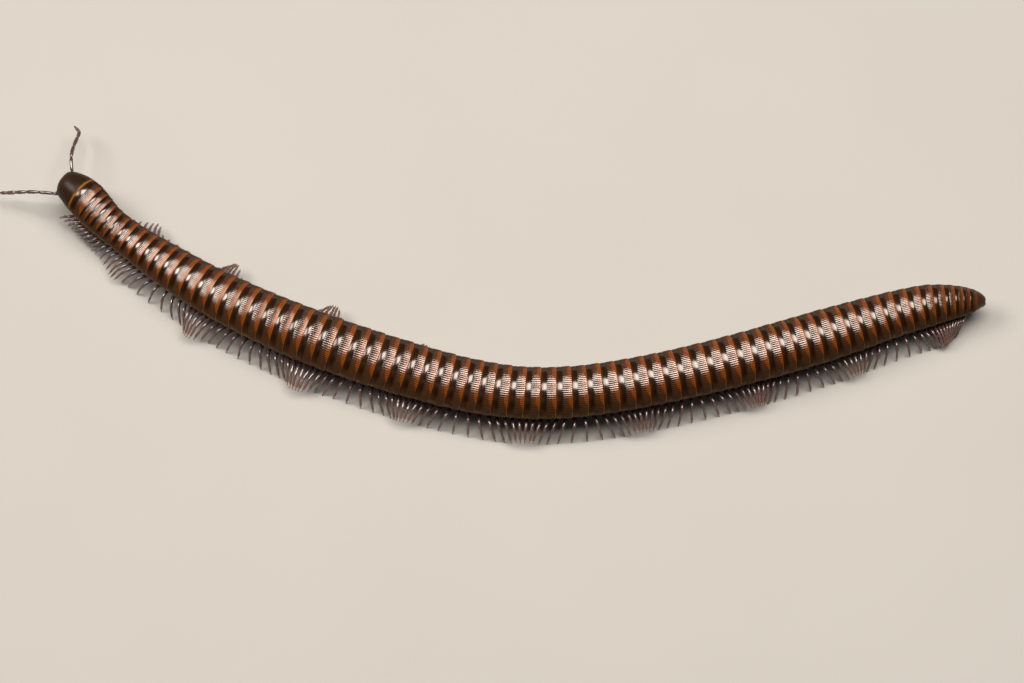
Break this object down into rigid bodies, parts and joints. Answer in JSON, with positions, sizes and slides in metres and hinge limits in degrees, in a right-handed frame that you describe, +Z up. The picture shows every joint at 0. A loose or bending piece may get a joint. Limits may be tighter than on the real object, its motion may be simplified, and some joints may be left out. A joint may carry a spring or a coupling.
{
  "type": "giant millipede",
  "caption": "Walking giant millipede: a long, gently bent body of smooth banded rings on many short paired legs, with a blunt domed front, two slim feelers and a pointed tail piece.",
  "frame": {"origin": "middle of the model's outline seen from above, on the floor that its feet stand on", "axes": "+X from the head end towards the tail, +Z up; the animal's left side is towards -Y"},
  "size_m": [0.1368, 0.0479, 0.0089],
  "materials": {
    "shell": "glossy dark brown cuticle with orange-brown hind bands, standing in for chitin",
    "limb": "glossy purplish brown cuticle with orange-brown tips, standing in for chitin",
    "eye": "glossy black patch of simple eyes"
  },
  "bodies": {
    "root": {"head": "shell", "eye_left": "eye", "eye_right": "eye", "antenna_left": "limb", "antenna_right": "limb", "collum": "shell", "trunk_01": "shell", "trunk_02": "shell", "trunk_03": "shell", "trunk_04": "shell", "trunk_05": "shell", "trunk_06": "shell", "trunk_07": "shell", "trunk_08": "shell", "trunk_09": "shell", "telson": "shell"}
  },
  "joints": []
}
